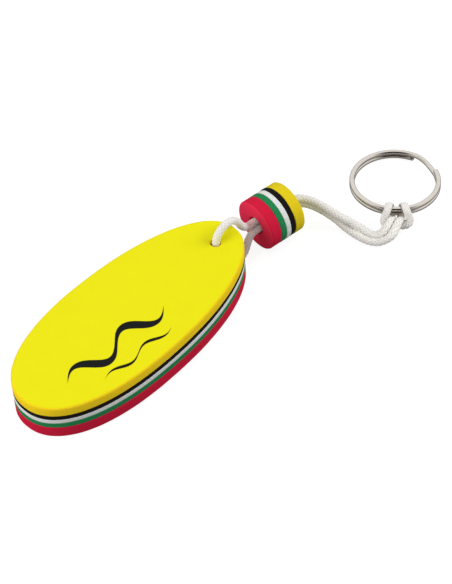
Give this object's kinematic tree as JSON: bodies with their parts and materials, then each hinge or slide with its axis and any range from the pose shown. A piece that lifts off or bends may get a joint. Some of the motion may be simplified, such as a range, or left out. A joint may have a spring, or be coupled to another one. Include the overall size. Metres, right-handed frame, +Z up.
{
  "type": "floating keychain",
  "caption": "Oval laminated foam float and a round foam bead on a doubled white cord, with a split ring hitched to the cord's loop.",
  "frame": {"origin": "on the plane the keychain lies on, under the middle of the foam and ring together, seen from above", "axes": "+X along the keychain from the float to the ring, +Z up, out of the float's printed face"},
  "size_m": [0.1379, 0.044, 0.0195],
  "materials": {
    "foam_red": "matt closed-cell foam",
    "foam_green": "matt closed-cell foam",
    "foam_white": "matt closed-cell foam",
    "foam_black": "matt closed-cell foam",
    "foam_yellow": "matt closed-cell foam with a smooth skin",
    "nickel": "bright nickel-plated steel",
    "cord_white": "braided white cord"
  },
  "bodies": {
    "root": {"float_base_sheet": "foam_red", "float_green_sheet": "foam_green", "float_white_sheet": "foam_white", "float_black_sheet": "foam_black", "float_top_sheet": "foam_yellow", "bead_base_sheet": "foam_red", "bead_green_sheet": "foam_green", "bead_white_sheet": "foam_white", "bead_black_sheet": "foam_black", "bead_top_sheet": "foam_yellow", "cord": "cord_white"},
    "ring": {"split_ring": "nickel"}
  },
  "joints": [
    {"name": "ring_swing", "type": "hinge", "parent": "root", "child": "ring", "pos_m": [0.048, -0.0166, 0.00415], "axis": [0.6947, -0.7193, 0], "range_deg": [0, 150]}
  ]
}
